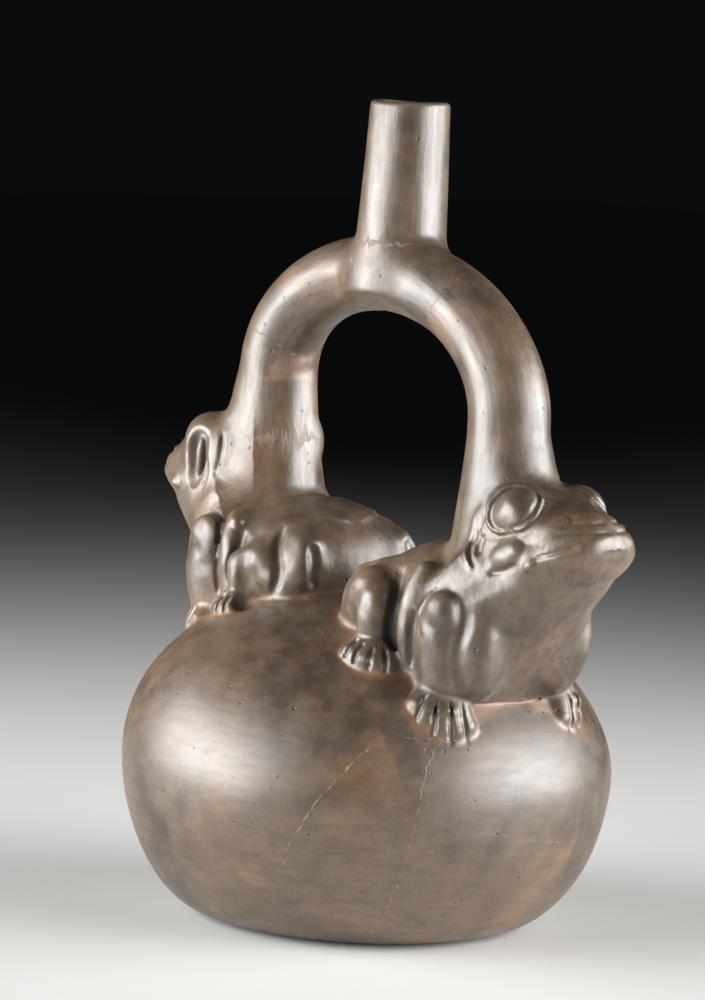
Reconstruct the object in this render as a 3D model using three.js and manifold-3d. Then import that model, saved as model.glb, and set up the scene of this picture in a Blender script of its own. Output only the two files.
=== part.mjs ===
// Stirrup spout vessel: a squat hollow pot of burnished clay with two toads on its shoulder, rump to rump,
// and a round tube that springs from their backs, arches over and carries one spout.
// Millimetres, +Z up, +X along the line of the toads, origin at the centre of the flat foot.
import * as THREE from "three";
import { mergeVertices } from "three/addons/utils/BufferGeometryUtils.js";
import Module from "manifold-3d";

const wasm = await Module();
wasm.setup();

// ---- the pot ----
const HEIGHT = 245; // foot to rim
const GAP = 0.02; // no edge of the solid is shorter than this
const WALL = 6; // thickness of the clay in the pot and the toads
const POT_RADIUS = 73.8;
const FOOT_RADIUS = 47;
const BELLY_HEIGHT = 45; // where the pot is widest
const DOME_HEIGHT = 98; // top of the pot, between the toads
const SLUMP = 2.8; // the shoulder sits this much lower under one toad and higher under the other
const SLUMP_SPAN = 35;

// ---- the stirrup and its spout ----
const ARCH_CENTRE = 2.7; // the arch stands this far off the pot's axis
const ARCH_SPREAD = 51.7; // half the distance between its legs
const ARCH_SPRING = 157; // height where the legs start to curve
const ARCH_CROWN = 193.5; // height of the tube's centre at the crown
const ARCH_TILT = 2.6; // the crown end of the far leg is this much higher
const LEG_BOTTOM = 106;
const TUBE_RADIUS = 12.1;
const CROWN_RADIUS = 11.3;
const LEG_FLARE = 2.4; // extra radius where a leg meets a toad
const TUBE_BORE = 7;
const SPOUT_RADIUS = [14, 11.7]; // at the crown and at the rim
const SPOUT_BORE = 8;
const SPOUT_CENTRE = [3.4, 4.9]; // the spout leans a little along X
const SPOUT_FOOT = 190;

// ---- the toads ----
const PAIR_CENTRE = 4; // the pair stands this far off the pot's axis
// How far along its own length, from the pair's centre, each toad carries its parts, how high it sits on
// the pot and how far its head nods, in degrees.
const TOADS = [
  { turn: 0, lift: 0, nod: 0, rump: 6, haunch: 13, thigh: 17, knee: 27.5, kneeTop: 113, flank: 40 },
  { turn: Math.PI, lift: 5.3, nod: 12, rump: 4, haunch: 15, thigh: 19, knee: 30, kneeTop: 109, flank: 40 },
];
const NECK = new THREE.Vector3(58, 0, 124); // the head nods about this point
const SHOULDER = 53; // place of the shoulders along a toad
const BODY_BOTTOM = 90; // a toad's body is an arched loaf, widest at this height
const TOES = 5;
const FOOT_HEIGHT = 3.6; // clay of a foot above the pot, at the heel
const FOOT_HEEL = 4;

// ---- from three.js geometry to solids and back ----
function solid(geometry) {
  const bare = geometry.clone();
  for (const name of ["normal", "uv"]) bare.deleteAttribute(name);
  const merged = mergeVertices(bare, 1e-4);
  return new wasm.Manifold(
    new wasm.Mesh({
      numProp: 3,
      vertProperties: new Float32Array(merged.attributes.position.array),
      triVerts: new Uint32Array(merged.index.array),
    }),
  );
}

function geometryOf(shape) {
  const mesh = shape.getMesh();
  const geometry = new THREE.BufferGeometry();
  geometry.setAttribute("position", new THREE.BufferAttribute(mesh.vertProperties, 3));
  geometry.setIndex(new THREE.BufferAttribute(mesh.triVerts, 1));
  geometry.computeVertexNormals();
  return geometry;
}

// Draws together the ends of every edge shorter than GAP, which joins and cuts leave behind.
function closeUp(shape) {
  const { vertProperties, triVerts } = shape.getMesh();
  const corner = (i) => new THREE.Vector3().fromArray(vertProperties, i * 3);
  const home = Array.from({ length: vertProperties.length / 3 }, (_, i) => i);
  const find = (i) => (home[i] === i ? i : (home[i] = find(home[i])));
  for (let i = 0; i < triVerts.length; i++) {
    const [a, b] = [triVerts[i], triVerts[i % 3 === 2 ? i - 2 : i + 1]];
    if (corner(a).distanceTo(corner(b)) < GAP) home[find(a)] = find(b);
  }
  const kept = [];
  for (let i = 0; i < triVerts.length; i += 3) {
    const [a, b, c] = [0, 1, 2].map((k) => find(triVerts[i + k]));
    if (a !== b && b !== c && c !== a) kept.push(a, b, c);
  }
  return new wasm.Manifold(
    new wasm.Mesh({ numProp: 3, vertProperties, triVerts: new Uint32Array(kept) }),
  );
}

const join = (shapes) => shapes.reduce((whole, shape) => whole.add(shape));
const clampUnit = (x) => Math.min(Math.max(x, 0), 1);
const ease = (x) => clampUnit(x) ** 2 * (3 - 2 * clampUnit(x));

// Moves every vertex of a geometry by a function of its own place.
function reshape(geometry, move) {
  const at = geometry.attributes.position;
  const p = new THREE.Vector3();
  for (let i = 0; i < at.count; i++) {
    p.fromBufferAttribute(at, i);
    move(p);
    at.setXYZ(i, p.x, p.y, p.z);
  }
  return geometry;
}

// ---- three ways of forming the clay ----
// A rolled limb: a sphere drawn out along a curve through stations [x, y, z, radius, depth]. Where a
// station has no depth the limb is round there. A low bluntness gives full ends, 1 gives pointed ones.
function limb(stations, sides = 10, rings = 8, bluntness = 0.5) {
  const centres = stations.map((s) => new THREE.Vector3(s[0], s[1], s[2]));
  const sizes = stations.map((s) => new THREE.Vector3(s[3], s[4] ?? s[3], 0));
  const path = new THREE.CatmullRomCurve3(centres, false, "catmullrom", 0.5);
  const size = new THREE.CatmullRomCurve3(sizes, false, "catmullrom", 0.5);
  const sideways = new THREE.Vector3(0, 1, 0);
  if (Math.abs(path.getTangent(0.5).y) > 0.8) sideways.set(1, 0, 0);
  return solid(
    reshape(new THREE.SphereGeometry(1, sides, rings), (p) => {
      const t = clampUnit((1 - p.y) / 2);
      const rise = Math.sqrt(Math.max(1 - p.y * p.y, 0));
      const swell = rise < 1e-4 ? 0 : rise ** (bluntness - 1);
      const along = path.getTangent(t);
      const side = sideways.clone().addScaledVector(along, -sideways.dot(along)).normalize();
      const up = along.clone().cross(side);
      const reach = size.getPoint(t);
      const across = p.x * swell * reach.x;
      const deep = p.z * swell * reach.y;
      p.copy(path.getPoint(t)).addScaledVector(side, across).addScaledVector(up, deep);
    }),
  );
}

// A pressed pellet: an ellipsoid, turned about X, Y and then Z.
function pellet(centre, radii, sides = 12, rings = 8, turn = [0, 0, 0]) {
  const geometry = new THREE.SphereGeometry(1, sides, rings);
  geometry.rotateX(Math.PI / 2).scale(...radii);
  geometry.rotateX(turn[0]).rotateY(turn[1]).rotateZ(turn[2]);
  return solid(geometry.translate(...centre));
}

// A built-up block: rings of clay laid one on the other, each a rounded oval. place(row, c, s) gives the
// point of a row's ring in the direction (c, s).
function block(rows, sides, place) {
  const geometry = new THREE.CylinderGeometry(1, 1, rows - 1, sides, rows - 1, false, Math.PI / sides);
  return solid(
    reshape(geometry, (p) => {
      const row = Math.round((rows - 1) / 2 - p.y);
      place(p, row, p.x, p.z);
    }),
  );
}

const roundedOval = (x, power) => Math.sign(x) * Math.abs(x) ** (2 / power);

// ---- the pot ----
const slump = (x, z) => -SLUMP * Math.tanh(x / SLUMP_SPAN) * ease((z - 30) / 55);

function potOutline(inset, steps) {
  const low = new THREE.CubicBezierCurve(
    new THREE.Vector2(FOOT_RADIUS, 0),
    new THREE.Vector2(60.5, 1.5),
    new THREE.Vector2(POT_RADIUS - 0.5, 24),
    new THREE.Vector2(POT_RADIUS, BELLY_HEIGHT),
  );
  const high = new THREE.CubicBezierCurve(
    new THREE.Vector2(POT_RADIUS, BELLY_HEIGHT),
    new THREE.Vector2(POT_RADIUS + 0.4, 72),
    new THREE.Vector2(48, DOME_HEIGHT - 0.5),
    new THREE.Vector2(0, DOME_HEIGHT),
  );
  const points = [...low.getPoints(steps), ...high.getPoints(steps + 3).slice(1)];
  const last = points.length - 1;
  const moved = points.map((p, i) => {
    const along = points[Math.min(i + 1, last)].clone().sub(points[Math.max(i - 1, 0)]).normalize();
    return new THREE.Vector2(p.x - along.y * inset, p.y + along.x * inset);
  });
  moved[0].y = inset;
  moved[last].set(0, DOME_HEIGHT - inset);
  return [new THREE.Vector2(0, inset), ...moved];
}

function pot(inset, sides, steps) {
  const geometry = new THREE.LatheGeometry(potOutline(inset, steps), sides).rotateX(Math.PI / 2);
  return solid(reshape(geometry, (p) => (p.z += slump(p.x, p.z))));
}

// Height of the pot's outer surface over a point of its shoulder.
const shoulderLine = potOutline(0, 24).filter((p) => p.y >= BELLY_HEIGHT);
function potTop(x, y) {
  const r = Math.hypot(x, y);
  const i = Math.max(shoulderLine.findIndex((p) => p.x <= r), 1);
  const [outer, inner] = [shoulderLine[i - 1], shoulderLine[i]];
  const even = inner.y + ((outer.y - inner.y) * (r - inner.x)) / (outer.x - inner.x);
  return even + slump(x, even);
}

// ---- the stirrup ----
// Centre line: two straight legs joined by half an oval.
class ArchLine extends THREE.Curve {
  getPoint(t, target = new THREE.Vector3()) {
    const legs = ARCH_SPRING - LEG_BOTTOM;
    const rise = ARCH_CROWN - ARCH_SPRING;
    const bend = (Math.PI / 2) * (ARCH_SPREAD + rise) * 0.5;
    const run = Math.abs(2 * t - 1) * (legs + bend);
    const side = t < 0.5 ? -1 : 1;
    const angle = Math.max(1 - run / bend, 0) * (Math.PI / 2);
    const out = ARCH_SPREAD * Math.cos(angle) - (run > bend ? ((run - bend) / legs) ** 2 * 1.5 : 0);
    const up = run < bend ? ARCH_SPRING + rise * Math.sin(angle) : ARCH_SPRING - (run - bend);
    const tilt = -side * out * (ARCH_TILT / ARCH_SPREAD) * ease((up - LEG_BOTTOM) / 50);
    return target.set(ARCH_CENTRE + side * out, 0, up + tilt);
  }
}

function archRadius(z) {
  const crown = ease((z - ARCH_SPRING) / (ARCH_CROWN - ARCH_SPRING));
  const foot = ease((ARCH_SPRING - z) / 45);
  return TUBE_RADIUS + (CROWN_RADIUS - TUBE_RADIUS) * crown + LEG_FLARE * foot;
}

function archTube(steps, sides, radiusAt) {
  const ring = new THREE.Shape().absarc(0, 0, 1, 0, Math.PI * 2);
  ring.closePath();
  const line = new ArchLine();
  const tube = new THREE.ExtrudeGeometry(new THREE.Shape(ring.getPoints(sides / 2)), {
    steps,
    extrudePath: line,
    bevelEnabled: false,
  });
  const centres = Array.from({ length: steps + 1 }, (_, i) => line.getPointAt(i / steps));
  return solid(
    reshape(tube, (p) => {
      const near = centres.reduce((a, b) => (p.distanceToSquared(a) < p.distanceToSquared(b) ? a : b));
      p.sub(near).multiplyScalar(radiusAt(near.z)).add(near);
    }),
  );
}

function spoutTube(radii, from, to, sides, bulge) {
  const points = [new THREE.Vector2(0, from)];
  const rows = bulge ? 7 : 1;
  for (let i = 0; i <= rows; i++) {
    const z = from + ((to - from) * i) / rows;
    const t = (z - SPOUT_FOOT) / (HEIGHT - SPOUT_FOOT);
    const neck = bulge * ease((0.3 - t) / 0.3);
    points.push(new THREE.Vector2(radii[0] + (radii[1] - radii[0]) * clampUnit(t) + neck, z));
  }
  points.push(new THREE.Vector2(0, to));
  const geometry = new THREE.LatheGeometry(points, sides).rotateX(Math.PI / 2);
  return solid(
    reshape(geometry, (p) => {
      const t = (p.z - SPOUT_FOOT) / (HEIGHT - SPOUT_FOOT);
      p.x += SPOUT_CENTRE[0] + (SPOUT_CENTRE[1] - SPOUT_CENTRE[0]) * t;
    }),
  );
}

// ---- a toad, facing +X, with x counted from the pair's centre ----
// Body, throat and head; inset makes the hollow inside them.
function torso(toad, inset) {
  const { rump } = toad;
  // [place along the toad, half width, height of the back]
  const stations = [
    [rump, 14, 103],
    [rump + 8, 22, 113],
    [rump + 20, 25, 117.5],
    [SHOULDER - 17, 26, 118],
    [SHOULDER - 6, 25, 118],
    [SHOULDER + 3, 22, 117],
  ];
  const shrink = ([x, half, back], i) => {
    const tip = i === 0 ? inset : i === stations.length - 1 ? -inset : 0;
    return [x + tip, 0, BODY_BOTTOM, half - inset, back - inset - BODY_BOTTOM];
  };
  return limb(stations.map(shrink), inset ? 8 : 16, inset ? 5 : 8, 0.55);
}

function throat(inset) {
  // [height, how far the front reaches, half width]
  const levels = [
    [68, 50, 16],
    [74, 57, 18.5],
    [84, 64.5, 21],
    [95, 73, 22.5],
    [105, 80.5, 23],
    [113, 87.5, 20.5],
    [119, 93, 18],
    [122.5, 96, 16],
  ];
  const back = 44;
  return block(levels.length, inset ? 8 : 16, (p, row, c, s) => {
    const [z, front, half] = levels[levels.length - 1 - row];
    const x = back + roundedOval(c, 2.4) * Math.max(front - back - inset * 1.35, 4);
    const trim = row === 0 ? inset : 0;
    p.set(c < 0 ? back + c * 3 : x, -roundedOval(s, 2.4) * (half - inset), z - trim);
  });
}

function head() {
  // [reach, middle height, half width, above, below]
  const cuts = [
    [48, 121, 13, 14, 12],
    [57, 121.5, 17, 18, 14],
    [65, 122, 17.5, 17.5, 13],
    [75, 121.5, 16.5, 14.5, 11],
    [84, 121.5, 14, 12, 6],
    [91, 122.2, 10.8, 9.3, 3],
    [95, 123, 7.5, 6, 2.2],
    [96.8, 123.5, 4.5, 3, 1.6],
  ];
  return block(cuts.length, 14, (p, row, c, s) => {
    const [x, z, half, above, below] = cuts[row];
    p.set(x, roundedOval(c, 2.5) * half, z + roundedOval(s, 2.5) * (s > 0 ? above : below));
  });
}

function face(side) {
  const outward = [side * -0.95, 0, side * 0.1];
  const ear = [
    [61, side * 15, 131],
    [57.5, side * 17, 124],
    [59, side * 18, 117],
    [63, side * 18, 112],
  ];
  return join([
    pellet([69.5, side * 10.5, 130], [8.2, 8.4, 8], 10, 5, outward),
    pellet([70, side * 13.2, 131.3], [6.2, 6.2, 6.8], 8, 4, outward),
    pellet([73, side * 16, 118.4], [8.2, 4.4, 5], 8, 5, [0, 0.6, 0]),
    limb(ear.map((s) => [...s, 2.2]), 4, 5, 0.3),
  ]);
}

// The rolled lip, round the snout from one corner of the mouth to the other, and the nose above it.
function muzzle() {
  const lip = [];
  for (let i = -5; i <= 5; i++) {
    const around = (1 - Math.abs(i) / 5) * (Math.PI / 2);
    const reach = Math.sin(around);
    lip.push([75 + 21.6 * reach, Math.sign(i) * 16 * Math.cos(around), 117.5 + 6.5 * reach, 2.3]);
  }
  return limb(lip, 5, 14, 0.3).add(pellet([89.5, 0, 130.2], [5.5, 7, 3.8], 10, 5, [0, 0.3, 0]));
}

// A splayed foot: a flat fan cut into toes by narrow slits, laid on the slope of the pot.
function foot(heel, reach, fromAngle, toAngle, side, ground) {
  const outline = new THREE.Shape();
  const step = (toAngle - fromAngle) / TOES;
  const polar = (r, angle) => [r * Math.cos(angle), side * r * Math.sin(angle)];
  outline.moveTo(...polar(FOOT_HEEL, (fromAngle + toAngle) / 2 + Math.PI));
  outline.lineTo(...polar(FOOT_HEEL, fromAngle - 0.9));
  for (let i = 0; i < TOES; i++) {
    const from = fromAngle + step * i;
    const length = reach * (1 - 0.1 * Math.abs(i / (TOES - 1) - 0.5));
    for (const [f, r] of [[0.02, 0.42], [0.24, 0.93], [0.5, 1], [0.76, 0.93], [0.98, 0.42]]) {
      outline.lineTo(...polar(length * r, from + step * f));
    }
  }
  outline.lineTo(...polar(FOOT_HEEL, toAngle + 0.9));
  outline.closePath();
  const depth = FOOT_HEIGHT * 2;
  const fan = new THREE.ExtrudeGeometry(outline, { depth, bevelEnabled: false, steps: 1 });
  return solid(
    reshape(fan, (p) => {
      const far = Math.hypot(p.x, p.y) / reach;
      const top = p.z > FOOT_HEIGHT;
      p.x += heel[0];
      p.y += side * heel[1];
      p.z = ground(p.x, p.y) + (top ? FOOT_HEIGHT * (1 - 0.55 * far) : -FOOT_HEIGHT);
    }),
  );
}

function limbs(toad, side, ground) {
  const { flank, knee, kneeTop, thigh, haunch } = toad;
  const wrist = [SHOULDER - 3.5, 21.5];
  const ankle = [knee + 2, 26];
  const on = ([x, y], height) => [x, side * y, ground(x, side * y) + height];
  return join([
    pellet([SHOULDER, side * 26.5, 103.5], [7.6, 5.4, 8], 10, 5),
    limb([
      [SHOULDER - 1, side * 25, 104, 6],
      [SHOULDER - 0.5, side * 25.5, 93, 5.6],
      [SHOULDER - 2.5, side * 23.3, 84, 5],
      [...on(wrist, 1), 5],
    ], 7, 5, 0.4),
    foot(wrist, 12, -0.3, 1.75, side, ground),
    limb([
      [flank + 2, side * 22, 112, 3.2],
      [flank, side * 24.5, 102, 4],
      [flank - 1.5, side * 24.5, 92, 3.8],
      [flank - 3, side * 23, 83, 3],
    ], 6, 5, 0.4),
    limb([
      [thigh - 3, side * 20, 92, 5],
      [thigh + 1, side * 23.5, kneeTop - 14, 6],
      [knee - 3, side * 26, kneeTop - 7.5, 6.4],
      [knee, side * 26.5, kneeTop - 8, 6.2],
    ], 7, 5, 0.4),
    limb([
      [knee, side * 26, kneeTop - 6, 6],
      [knee + 1, side * 28.5, 99, 5.8],
      [knee + 1, side * 28, 91, 5.6],
      [...on(ankle, 1), 5.4],
    ], 7, 5, 0.4),
    foot(ankle, 11.5, 0.1, 1.95, side, ground),
    limb([
      [haunch, side * 17, 108, 3.4],
      [haunch - 1, side * 21, 101, 4],
      [haunch - 2, side * 22, 94, 3.4],
    ], 6, 4, 0.5),
  ]);
}

function place(shape, toad) {
  const matrix = new THREE.Matrix4().makeTranslation(PAIR_CENTRE, 0, toad.lift);
  matrix.multiply(new THREE.Matrix4().makeRotationZ(toad.turn));
  return shape.transform(matrix.elements);
}

function nod(shape, toad) {
  const matrix = new THREE.Matrix4().makeTranslation(NECK.x, NECK.y, NECK.z);
  matrix.multiply(new THREE.Matrix4().makeRotationY(THREE.MathUtils.degToRad(toad.nod)));
  matrix.multiply(new THREE.Matrix4().makeTranslation(-NECK.x, -NECK.y, -NECK.z));
  return shape.transform(matrix.elements);
}

function toadBody(toad) {
  const facing = Math.cos(toad.turn);
  const ground = (x, y) => potTop(PAIR_CENTRE + facing * x, facing * y) - toad.lift;
  const shapes = [torso(toad, 0), throat(0), nod(join([head(), muzzle(), face(1), face(-1)]), toad)];
  for (const side of [1, -1]) shapes.push(limbs(toad, side, ground));
  return place(join(shapes), toad);
}

const toadHollow = (toad) => place(torso(toad, WALL).add(throat(WALL)), toad);

// ---- putting it together ----
let clay = join([
  pot(0, 40, 6),
  archTube(22, 12, archRadius),
  spoutTube(SPOUT_RADIUS, SPOUT_FOOT, HEIGHT, 18, 1.5),
  ...TOADS.map(toadBody),
]);
const hollow = join([
  pot(WALL, 20, 4),
  archTube(18, 8, () => TUBE_BORE),
  spoutTube([SPOUT_BORE, SPOUT_BORE], ARCH_CROWN, HEIGHT + 5, 10, 0),
  ...TOADS.map(toadHollow),
]);
clay = closeUp(clay.subtract(hollow));

const group = new THREE.Group();
const fired = new THREE.MeshStandardMaterial({ color: 0x5a4a3f, roughness: 0.42, metalness: 0 });
const vessel = new THREE.Mesh(geometryOf(clay), fired);
vessel.name = "vessel";
group.add(vessel);
export default group;
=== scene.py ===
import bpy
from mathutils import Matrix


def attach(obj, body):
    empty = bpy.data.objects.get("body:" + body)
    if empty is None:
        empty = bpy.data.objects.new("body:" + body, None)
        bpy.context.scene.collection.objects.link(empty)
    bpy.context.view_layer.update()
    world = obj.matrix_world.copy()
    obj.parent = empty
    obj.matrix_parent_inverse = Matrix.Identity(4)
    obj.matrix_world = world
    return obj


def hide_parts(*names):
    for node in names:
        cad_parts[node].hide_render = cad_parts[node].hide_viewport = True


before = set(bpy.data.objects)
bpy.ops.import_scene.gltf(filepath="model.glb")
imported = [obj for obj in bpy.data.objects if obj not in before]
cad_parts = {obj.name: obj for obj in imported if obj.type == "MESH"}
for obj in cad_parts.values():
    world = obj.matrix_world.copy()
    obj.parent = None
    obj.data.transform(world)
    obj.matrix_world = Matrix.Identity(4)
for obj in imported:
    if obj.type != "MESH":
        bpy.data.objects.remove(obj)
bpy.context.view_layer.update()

import math

import bpy
import numpy as np
import openvdb
from mathutils import Euler, Quaternion, Vector

# ---- the camera ----
# A long lens on a tripod, a little above the rim of the spout and pitched down at the shoulder of the pot.
# The tripod head leans a little to one side. Heights and distances are in metres.
AZIMUTH, EYE_HEIGHT, EYE_DISTANCE = math.radians(48), 0.266, 1.25
PITCH, YAW, LEAN = math.radians(6.43), math.radians(0.37), math.radians(2.85)
eye = Vector((EYE_DISTANCE * math.sin(AZIMUTH), -EYE_DISTANCE * math.cos(AZIMUTH), EYE_HEIGHT))
heading = AZIMUTH + YAW
looking = Vector((-math.sin(heading) * math.cos(PITCH), math.cos(heading) * math.cos(PITCH), -math.sin(PITCH)))
camera = bpy.data.objects.new("camera", bpy.data.cameras.new("camera"))
camera.data.lens = 151.2  # millimetres
camera.location = eye
camera.rotation_mode = "QUATERNION"
camera.rotation_quaternion = looking.to_track_quat("-Z", "Y") @ Quaternion((0, 0, 1), LEAN)
bpy.context.scene.collection.objects.link(camera)
bpy.context.scene.camera = camera


# ---- the table and the lamps ----
# A pale matt table top. A large softbox stands on it on each side of the pot, a little towards the camera,
# and the room behind is dark, so the table fades away at the back.
def srgb(code):
    parts = [int(code[i : i + 2], 16) / 255 for i in (1, 3, 5)]
    return (*(c / 12.92 if c <= 0.04045 else ((c + 0.055) / 1.055) ** 2.4 for c in parts), 1)


REACH = 4  # metres from the pot to each edge of the table
edge_points = [(-REACH, -REACH, 0), (REACH, -REACH, 0), (REACH, REACH, 0), (-REACH, REACH, 0)]
table_mesh = bpy.data.meshes.new("table_top")
table_mesh.from_pydata(edge_points, [], [(0, 1, 2, 3)])
table = bpy.data.objects.new("table_top", table_mesh)
bpy.context.scene.collection.objects.link(table)
# painted board: nearly white and too matt to mirror the pot, so only a soft shade shows under it
matt = bpy.data.materials.new("pale_table")
matt.use_nodes = True
matt.node_tree.nodes["Principled BSDF"].inputs["Base Color"].default_value = srgb("#dcdcda")
matt.node_tree.nodes["Principled BSDF"].inputs["Roughness"].default_value = 0.6
table_mesh.materials.append(matt)

LAMP_FOOT, LAMP_TIP = 0.01, 0.12  # metres under a box, and how far it looks down for each metre forward
# bearing from the camera in degrees, distance, width and height in metres, and power in watts
for bearing, distance, width, height, power in [(-78, 0.62, 0.9, 0.5, 5.2), (79, 0.62, 0.9, 0.5, 5.2)]:
    lamp = bpy.data.lights.new("softbox", "AREA")
    lamp.shape, lamp.size, lamp.size_y = "RECTANGLE", width, height
    lamp.energy, lamp.spread = power, math.radians(95)
    box = bpy.data.objects.new("softbox", lamp)
    turn = AZIMUTH + math.radians(bearing)
    box.location = (distance * math.sin(turn), -distance * math.cos(turn), height / 2 + LAMP_FOOT)
    box.rotation_mode = "QUATERNION"
    box.rotation_quaternion = Vector((-math.sin(turn), math.cos(turn), -LAMP_TIP)).to_track_quat("-Z", "Y")
    bpy.context.scene.collection.objects.link(box)
room = bpy.data.worlds.new("dark_room")
room.use_nodes = True
room.node_tree.nodes["Background"].inputs["Color"].default_value = srgb("#141516")
room.node_tree.nodes["Background"].inputs["Strength"].default_value = 0.5
bpy.context.scene.world = room
bpy.context.scene.view_settings.view_transform = "Standard"

# ---- the pot ----
# A squat round pot of soft clay, built up in the hand, with a flat foot and a low dome closed over the top.
# The shoulder has sunk a little under the nearer toad. All the clay is kept as one list of what the hands did,
# in millimetres: lumps put on and smoothed in, hollows cut out, lines pressed in.
FAR = 9.0  # no surface is looked for further off than this
done = []
seat_turn, seat_place = np.eye(3), np.zeros(3)  # where on the pot the hands are working


def work(kind, distance, low, high, blend):
    """Puts clay on, cuts it out or presses it, inside a box, smoothed into what is there by the blend."""
    turn, place = seat_turn, seat_place
    corners = np.array([[x, y, z] for x in (low[0], high[0]) for y in (low[1], high[1]) for z in (low[2], high[2])])
    corners = corners @ turn.T + place
    reach = blend + (FAR * 0.7 if kind == "add" else 0.5)
    near, far = corners.min(0) - reach, corners.max(0) + reach
    done.append((kind, lambda p: distance((p - place) @ turn), near, far, blend))


ease = lambda x: np.clip(x, 0, 1) ** 2 * (3 - 2 * np.clip(x, 0, 1))

WALL, WAIST = 6, 45  # thickness of the wall, and height of the widest place
share = np.linspace(0, 1, 60)[:, None]


def bend(a, b, c, d):
    """A curve from a to d that leaves towards b and arrives from c."""
    left = 1 - share
    return left**3 * a + 3 * left**2 * share * b + 3 * left * share**2 * c + share**3 * d


outline = np.vstack([
    np.array([[0, 0], [20, 0], [38, 0], [44.5, 0.05], [46.4, 0.35], [48.2, 0.9]]),
    bend(*np.array([[48.6, 1.0], [60.8, 2.6], [73.3, 24], [73.8, WAIST]])),
    bend(*np.array([[73.8, WAIST], [74.2, 72], [48, 97.5], [0, 98]]))[1:],
])
bearing_of = np.arctan2(outline[:, 1] - WAIST, outline[:, 0])
reach_of = np.hypot(outline[:, 0], outline[:, 1] - WAIST)
fine = np.linspace(-np.pi / 2, np.pi / 2, 2000)
reach_fine = np.interp(fine, bearing_of, reach_of)
reach_fine = np.convolve(np.pad(reach_fine, 12, mode="edge"), np.hanning(25) / np.hanning(25).sum(), "valid")
lean_fine = 1 / np.sqrt(1 + (np.gradient(reach_fine, fine) / reach_fine) ** 2)


def slump(x, z):
    """How much the shoulder has sunk at one end and risen at the other."""
    return -2.8 * np.tanh(x / 35) * ease((z - 30) / 55)


def pot_field(p):
    """How far each point lies outside the pot."""
    z = p[:, 2] - slump(p[:, 0], p[:, 2]) - WAIST
    r = np.hypot(p[:, 0], p[:, 1])
    at = np.arctan2(z, r)
    around = np.arctan2(p[:, 1], p[:, 0])
    uneven = 0.22 * np.sin(3 * around + z / 17) + 0.15 * np.sin(5 * around - z / 11 + 1)
    uneven += 0.1 * np.sin(9 * around + z / 6)
    uneven *= ease((z + 44) / 14) * ease((50 - z) / 12)
    return (np.hypot(r, z) - np.interp(at, fine, reach_fine)) * np.interp(at, fine, lean_fine) - uneven


work("add", pot_field, (-74, -74, 0), (74, 74, 101), 0.5)
top_bearing, top_reach = fine[1000:], reach_fine[1000:]


def ground(x, y):
    """Height of the pot's shoulder over a point, in the place where the hands are working."""
    x, y, _ = seat_turn @ np.array([x, y, 0]) + seat_place
    r = math.hypot(x, y)
    out, up = top_reach * np.cos(top_bearing), WAIST + top_reach * np.sin(top_bearing)
    level = np.interp(r, out[::-1], up[::-1])
    return level + slump(x, level) - seat_place[2]


# ---- the toads ----
# Two toads sit rump to rump across the dome. Each is a loaf of clay on the pot with the throat and chest
# built up in front, and the legs are rolled strips pinched together at the feet.


def clay(p):
    """How far each point lies outside the surface of the clay, or inside where it is negative."""
    low, high = p.min(0), p.max(0)
    field = np.full(len(p), FAR)
    for kind, distance, near, far, blend in done:
        if (near > high).any() or (far < low).any():
            continue
        at = np.flatnonzero(((p > near) & (p < far)).all(axis=1))
        if not len(at):
            continue
        here, new = field[at], distance(p[at])
        if kind == "press":
            field[at] = here + new
            continue
        if kind == "cut":
            here, new = -here, new
        soft = np.maximum(blend - np.abs(here - new), 0)
        joined = np.minimum(here, new) - soft * soft / (4 * blend)
        field[at] = -joined if kind == "cut" else joined
    return field


PROBES = np.array([[1, -1, -1], [-1, -1, 1], [-1, 1, -1], [1, 1, 1]])


def gradient(p, step=0.2):
    """Which way is out of the clay at each point."""
    return sum(clay(p + step * probe)[:, None] * probe for probe in PROBES) / (4 * step)


def onto_surface(p, rounds=4):
    """Slides points down the slope until they lie on the clay."""
    for _ in range(rounds):
        slope = gradient(p)
        steep = np.maximum((slope * slope).sum(1), 0.04)
        p = p - slope * np.clip(clay(p) / steep, -2, 2)[:, None]
    return p


def through(points, count):
    """A smooth line of count stations through the points."""
    p = np.asarray(points, float)
    p = np.vstack([2 * p[0] - p[1], p, 2 * p[-1] - p[-2]])
    t = np.linspace(0, len(p) - 3, count)
    i = np.minimum(t.astype(int), len(p) - 4)
    f = (t - i)[:, None]
    a, b, c, d = p[i], p[i + 1], p[i + 2], p[i + 3]
    return b + 0.5 * f * (c - a + f * (2 * a - 5 * b + 4 * c - d + f * (3 * (b - c) + d - a)))


def along(line, inset=(0, 0)):
    """Finds the nearest station of a line to each point, with all that the line says there."""
    every = max(len(line) // 60, 2)
    coarse = line[::every]
    step = np.linalg.norm(np.diff(line[:, :3], axis=0), axis=1)
    run = np.concatenate([[0], np.cumsum(step)])
    coarse_run = run[::every]
    tangent = np.gradient(line[:, :3], axis=0)[::every]
    tangent /= np.linalg.norm(tangent, axis=1)[:, None]
    weight = (coarse[:, :3] ** 2).sum(1)

    def nearest(p):
        i = (weight - 2 * p @ coarse[:, :3].T).argmin(1)
        s = coarse_run[i] + ((p - coarse[i, :3]) * tangent[i]).sum(1)
        s = np.clip(s, inset[0], run[-1] - inset[1])
        return np.stack([np.interp(s, run, line[:, k]) for k in range(line.shape[1])], axis=1)

    return nearest


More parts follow.
